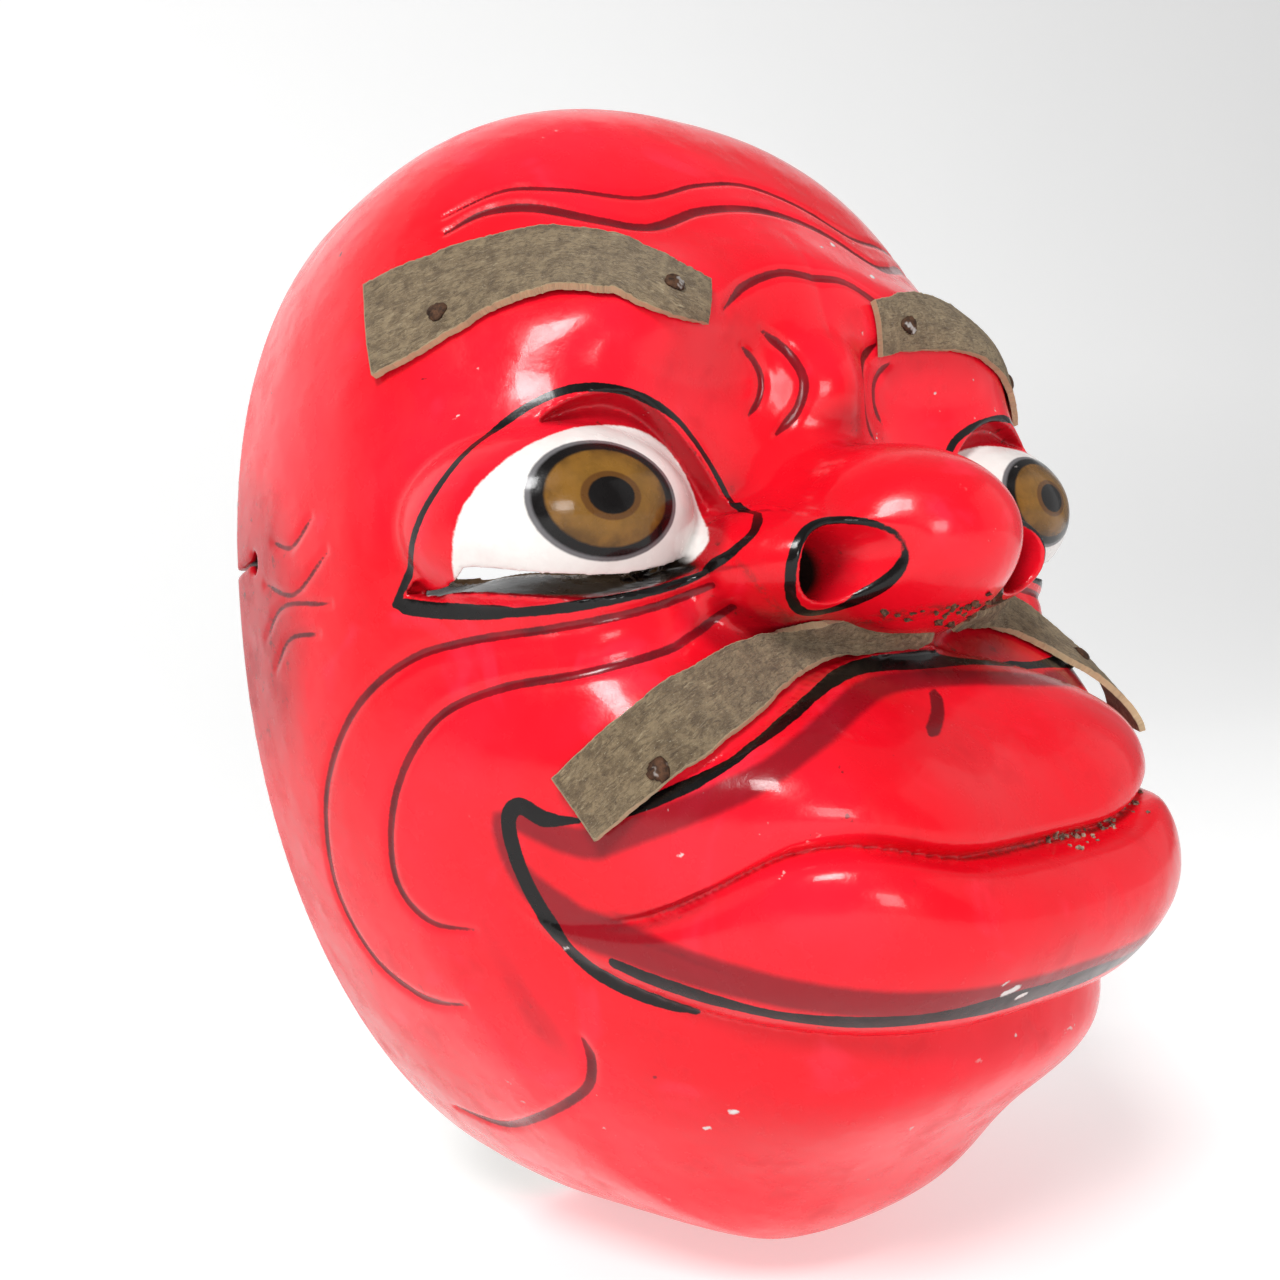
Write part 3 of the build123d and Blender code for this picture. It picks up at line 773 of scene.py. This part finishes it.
def tack_piece(name, node, net, places, seed):
    """A strip's tacks, each square to the hide at the point nearest its place, with a battered head."""
    rng = np.random.default_rng(seed)
    around = np.linspace(0, 2 * math.pi, 28, endpoint=False)
    n = net_normals(net)
    verts, faces = [], []
    for x, z in places:
        gap = (net[..., 0] - x) ** 2 + (net[..., 2] - z) ** 2
        spot = np.unravel_index(np.argmin(gap), gap.shape)
        up = n[spot]
        u = np.cross(up, (0, 0, 1.0))
        u /= np.linalg.norm(u)
        v = np.cross(up, u)
        wobble = 1 + 0.10 * np.sin(around * 3 + rng.uniform(0, 6)) + 0.05 * rng.normal(0, 1, len(around))
        rings = []
        for radius, height in TACK_PROFILE:
            if radius == 0:
                rings.append([len(verts)])
                verts.append(net[spot] + up * height)
                continue
            ragged = wobble if radius > SHANK_LIMIT else np.ones(len(around))
            rings.append(list(range(len(verts), len(verts) + len(around))))
            for a, swell in zip(around, ragged):
                jolt = 0.05 * rng.normal() if radius > SHANK_LIMIT else 0
                spoke = u * math.cos(a) + v * math.sin(a)
                verts.append(net[spot] + spoke * radius * swell + up * (height + jolt))
        for one, two in zip(rings, rings[1:]):
            for i in range(len(around)):
                j = (i + 1) % len(around)
                if len(one) == 1:
                    faces.append((one[0], two[j], two[i]))
                elif len(two) == 1:
                    faces.append((one[i], one[j], two[0]))
                else:
                    faces.append((one[i], one[j], two[j], two[i]))
    piece = piece_of(name, verts, faces, iron)
    piece.data.polygons.foreach_set("use_smooth", [True] * len(faces))
    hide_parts(node)


iron = rusted_iron()
tack_piece("right_eyebrow_tack_heads", "right_eyebrow_tacks", right_brow, [(-57, 50.5), (-30, 51.5)], 1)
tack_piece("left_eyebrow_tack_heads", "left_eyebrow_tacks", left_brow, [(49, 45), (17.5, 50.5)], 2)
tack_piece("right_moustache_tack_head", "right_moustache_tack", right_lip_hair, [(-46, -13.8)], 3)
tack_piece("left_moustache_tack_head", "left_moustache_tack", left_lip_hair, [(45, -5)], 4)


# ---------------------------------------------------------------------------------------------
# Old glue and lint: brittle brown crumbs caught under the nose, and grey fluff in the crease
# between the lips.
# ---------------------------------------------------------------------------------------------
def crumbs(name, spots, size, low, high, seed):
    """Small broken lumps at scattered places on the skin, sunk in a little."""
    rng = np.random.default_rng(seed)
    made, t = begin(name)
    tint = t.blend(t.noise(700, 4, 0.7).soft(0.35, 0.65), low, high)
    finish_surface(made, tint, 0.85, t.bump(t.noise(1500, 3), 0.0002, 0.8))
    ball = bmesh.new()
    bmesh.ops.create_icosphere(ball, subdivisions=2, radius=1.0)
    shape = np.array([v.co for v in ball.verts])
    sides = [[v.index for v in f.verts] for f in ball.faces]
    ball.free()
    verts, faces = [], []
    for spot in spots:
        lump = shape * rng.uniform(0.4, 1.0, 3) * size * rng.uniform(0.5, 1.0)
        lump = lump * (1 + 0.25 * rng.normal(0, 1, (len(shape), 1)))
        faces += [[i + len(verts) for i in side] for side in sides]
        verts += (lump + spot).tolist()
    piece_of(name, verts, faces, made)


scatter = np.random.default_rng(12)
under_nose = by_turn(scatter.normal(1, 5, 46), scatter.normal(3.0, 0.9, 46))
crumbs("glue_crumbs", under_nose, 0.8, (0.03, 0.012, 0.006), (0.16, 0.08, 0.04), 5)
fluff_x = scatter.uniform(2, 30, 60)
in_crease = from_front(fluff_x, lip_crease_z(fluff_x) + scatter.normal(0, 0.5, 60))
crumbs("crease_lint", in_crease, 0.55, (0.10, 0.05, 0.035), (0.38, 0.30, 0.22), 6)

# ---------------------------------------------------------------------------------------------
# The studio: a pale floor that sweeps up behind the mask, soft lamps, and a camera close to the
# mask's right side.
# ---------------------------------------------------------------------------------------------
floor_z = cad_box[0][2]
FLOOR_END, SWEEP_RADIUS, SWEEP_TOP, SWEEP_HALF_WIDTH = 0.35, 0.5, 2.4, 2.5
profile = [(-1.6, floor_z), (FLOOR_END, floor_z)]
for a in np.linspace(0.15, math.pi / 2, 14):
    rise = floor_z + SWEEP_RADIUS - SWEEP_RADIUS * math.cos(a)
    profile.append((FLOOR_END + SWEEP_RADIUS * math.sin(a), rise))
profile.append((FLOOR_END + SWEEP_RADIUS, SWEEP_TOP))
verts = [(x, y, z) for y, z in profile for x in (-SWEEP_HALF_WIDTH, SWEEP_HALF_WIDTH)]
strips = [(2 * i, 2 * i + 1, 2 * i + 3, 2 * i + 2) for i in range(len(profile) - 1)]
sweep = bpy.data.meshes.new("studio_sweep")
sweep.from_pydata(verts, [], strips)
sweep.polygons.foreach_set("use_smooth", [True] * len(sweep.polygons))
paper, t = begin("studio_paper")
finish_surface(paper, t.blend(t.noise(3, 2), (0.70, 0.70, 0.70), (0.73, 0.73, 0.725)), 0.8, None,
               Emission_Color=(1, 1, 1, 1), Emission_Strength=0.45)
sweep.materials.append(paper)
studio = bpy.data.objects.new("studio_sweep", sweep)
bpy.context.collection.objects.link(studio)


LIT_POINT = (0, -0.05, 0.0)


def lamp(name, place, size, power):
    """A soft square lamp that looks at the mask."""
    data = bpy.data.lights.new(name, "AREA")
    data.size = size
    data.energy = power
    made = bpy.data.objects.new(name, data)
    made.location = place
    made.rotation_euler = (Vector(LIT_POINT) - Vector(place)).to_track_quat("-Z", "Y").to_euler()
    bpy.context.collection.objects.link(made)


lamp("key", (-0.55, -0.50, 0.65), 0.26, 7.6)
lamp("fill", (0.7, -0.6, 0.25), 0.9, 1.2)
lamp("front", (-0.35, -1.0, 0.15), 0.22, 2.2)
world = bpy.data.worlds.new("studio")
world.use_nodes = True
world.node_tree.nodes["Background"].inputs["Color"].default_value = (1, 1, 1, 1)
world.node_tree.nodes["Background"].inputs["Strength"].default_value = 0.24
bpy.context.scene.world = world
bpy.context.scene.view_settings.view_transform = "Standard"

camera_data = bpy.data.cameras.new("camera")
camera_data.lens = 33.75
camera_data.sensor_width = 36
camera_data.clip_start = 0.01
camera = bpy.data.objects.new("camera", camera_data)
stand = Matrix.Translation((-0.1313, -0.198, -0.0017))
pan = Matrix.Rotation(math.radians(-34.9), 4, "Z")
tilt = Matrix.Rotation(math.radians(91.6), 4, "X")
roll = Matrix.Rotation(math.radians(-5), 4, "Z")
camera.matrix_world = stand @ pan @ tilt @ roll
bpy.context.collection.objects.link(camera)
bpy.context.scene.camera = camera
